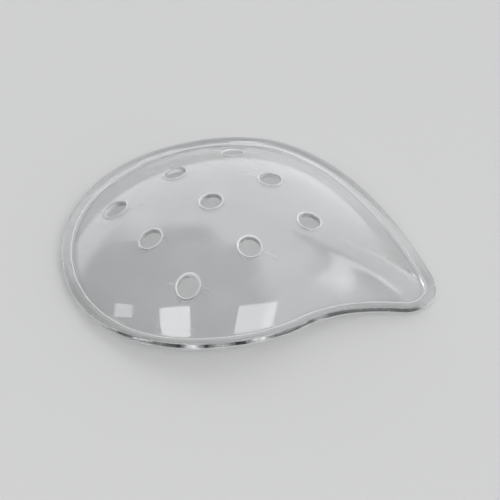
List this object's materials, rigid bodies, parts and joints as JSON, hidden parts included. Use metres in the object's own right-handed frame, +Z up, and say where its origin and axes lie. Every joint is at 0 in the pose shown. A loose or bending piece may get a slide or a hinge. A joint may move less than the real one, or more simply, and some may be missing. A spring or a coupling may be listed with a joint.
{
  "type": "surgical eye shield",
  "caption": "Clear vented eye shield: a thin teardrop dome with a rounded arched rim and a square grid of round vents, laid over the eye socket and taped down.",
  "frame": {"origin": "middle of the footprint on the table plane that the rim stands on", "axes": "+X along the shield from the round cup to the narrow tip, +Y towards the bulging long side, +Z up, away from the face"},
  "size_m": [0.0786, 0.0624, 0.0145],
  "materials": {
    "clear_plastic": "polished clear"
  },
  "bodies": {
    "root": {"shield_shell": "clear_plastic"}
  },
  "joints": []
}
